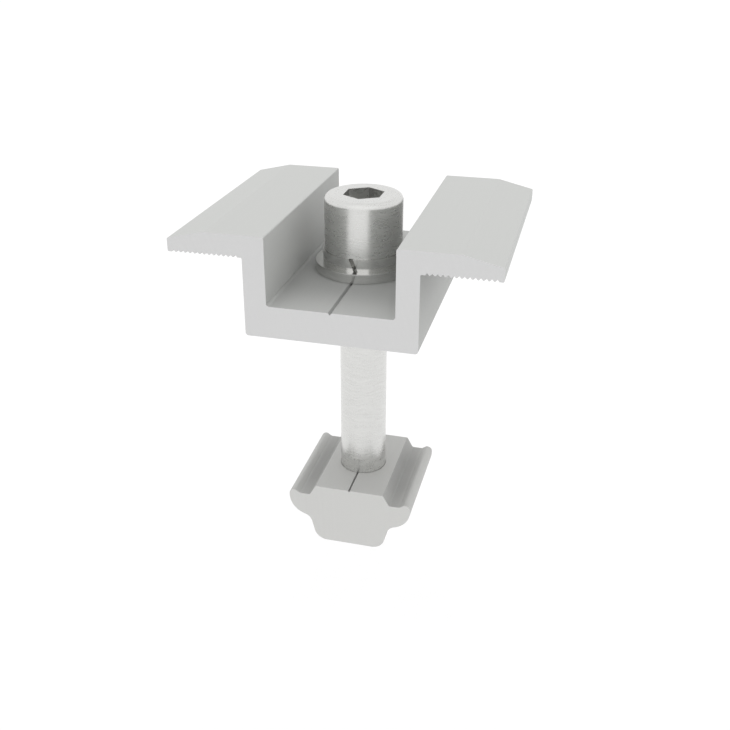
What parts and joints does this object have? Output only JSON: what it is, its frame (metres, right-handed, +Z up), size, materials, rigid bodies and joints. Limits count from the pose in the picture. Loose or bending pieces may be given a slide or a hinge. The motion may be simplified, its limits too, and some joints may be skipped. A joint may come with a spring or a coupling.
{
  "type": "solar panel clamp",
  "caption": "Mid clamp for framed solar panels: a serrated aluminium channel that a socket head cap screw, with its washers, pulls down towards a sliding rail nut.",
  "frame": {"origin": "centre of the slide nut's flat underside, on the screw's axis", "axes": "+Z up the screw towards its head, Y along the extruded length and the rail, X across the channel towards the two flanges"},
  "size_m": [0.0504, 0.04, 0.0613],
  "materials": {
    "extruded_aluminium": "fine satin, anodised natural",
    "screw_steel": "bright turned stainless steel with fine circular marks",
    "washer_steel": "rolled and tumbled stainless steel"
  },
  "bodies": {
    "clamp": {"clamp_profile": "extruded_aluminium"},
    "washer_seat": {"flat_washer": "washer_steel"},
    "screw_seat": {"spring_washer": "washer_steel"},
    "screw": {"cap_screw": "screw_steel"},
    "nut": {"slide_nut": "extruded_aluminium"}
  },
  "joints": [
    {"name": "set_turn", "type": "hinge", "parent": "clamp", "child": "washer_seat", "pos_m": [0, 0, 0.04875], "axis": [0, 0, 1], "continuous": true},
    {"name": "screw_lift", "type": "slide", "parent": "washer_seat", "child": "screw_seat", "axis": [0, 0, 1], "range_m": [0, 0.022]},
    {"name": "nut_climb", "type": "slide", "parent": "screw_seat", "child": "nut", "axis": [0, 0, 1], "range_m": [-0.00625, 0.01]},
    {"name": "screw_turn", "type": "hinge", "parent": "screw_seat", "child": "screw", "pos_m": [0, 0, 0.05235], "axis": [0, 0, 1], "range_deg": [-2880, 1800]}
  ],
  "couplings": [
    {"joint": "screw_turn", "follows": "nut_climb", "rad_per_m": -5026.5}
  ]
}
